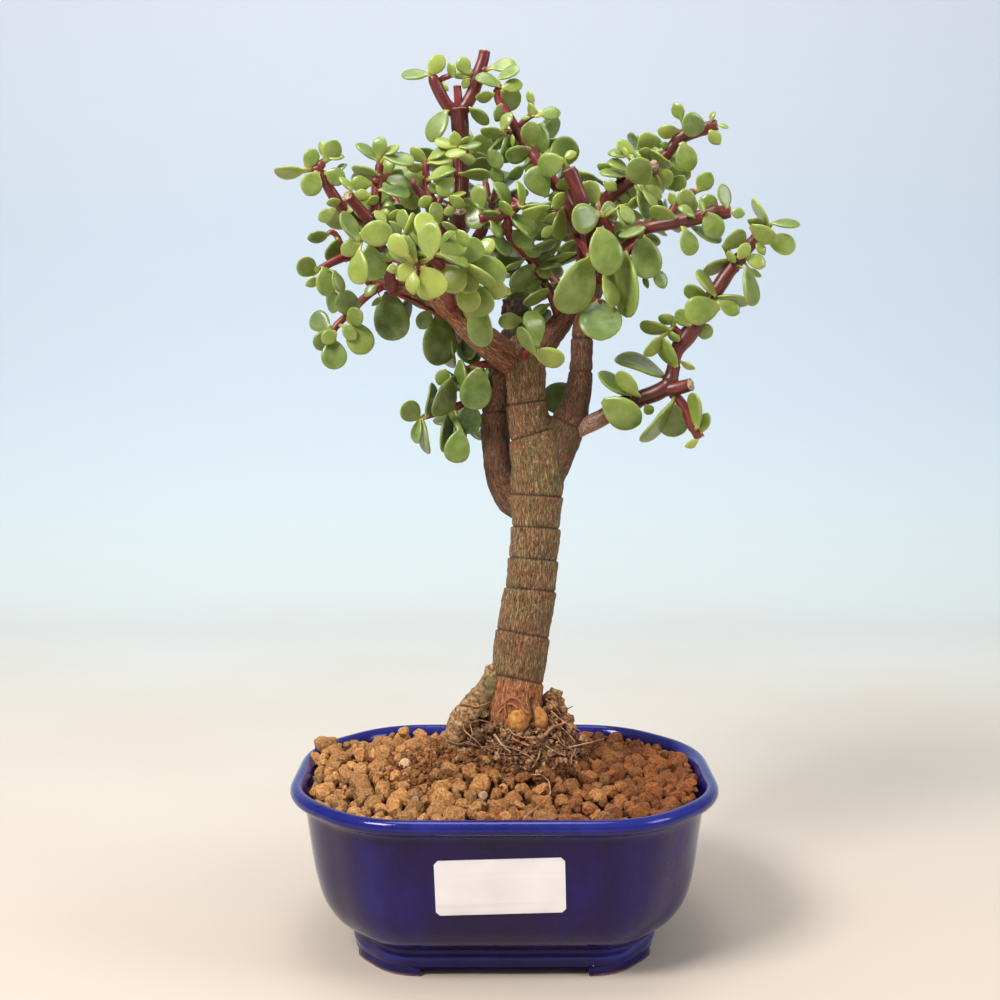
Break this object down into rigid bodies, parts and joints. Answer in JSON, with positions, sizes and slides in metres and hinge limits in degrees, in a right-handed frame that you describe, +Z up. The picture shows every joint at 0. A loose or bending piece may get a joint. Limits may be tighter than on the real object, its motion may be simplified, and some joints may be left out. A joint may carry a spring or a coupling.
{
  "type": "dwarf jade bonsai",
  "caption": "Dwarf jade bonsai with a ringed trunk and round green leaves on red stems, in a footed oblong pot with cut corners and blue glaze.",
  "frame": {"origin": "middle of the whole outline on the surface that the pot stands on", "axes": "+Z up the trunk, X along the pot's long side, -Y towards the label"},
  "size_m": [0.1782, 0.122, 0.3184],
  "materials": {
    "glaze": "glossy",
    "paper": "matte",
    "mesh": "satin",
    "clay": "matte",
    "peat": "matte",
    "bark": "matte",
    "leaf": "satin"
  },
  "bodies": {
    "root": {"pot": "glaze", "blank_label": "paper", "drain_screen_left": "mesh", "drain_screen_right": "mesh", "soil": "clay", "root_ball": "peat", "trunk": "bark", "back_left_spray": "leaf", "back_low_spray": "leaf", "back_middle_spray": "leaf", "back_right_spray": "leaf", "diagonal_spray": "leaf", "drooping_left_spray": "leaf", "far_right_spray": "leaf", "fork_spray": "leaf", "front_rosette_spray": "leaf", "inner_left_spray": "leaf", "left_tip_spray": "leaf", "limb_front_spray": "leaf", "limb_hind_spray": "leaf", "low_left_lower_spray": "leaf", "low_left_upper_spray": "leaf", "middle_spray": "leaf", "right_limb_spray": "leaf", "right_spray": "leaf", "top_spray": "leaf", "under_left_spray": "leaf", "upper_left_spray": "leaf", "upper_right_spray": "leaf"}
  },
  "joints": []
}
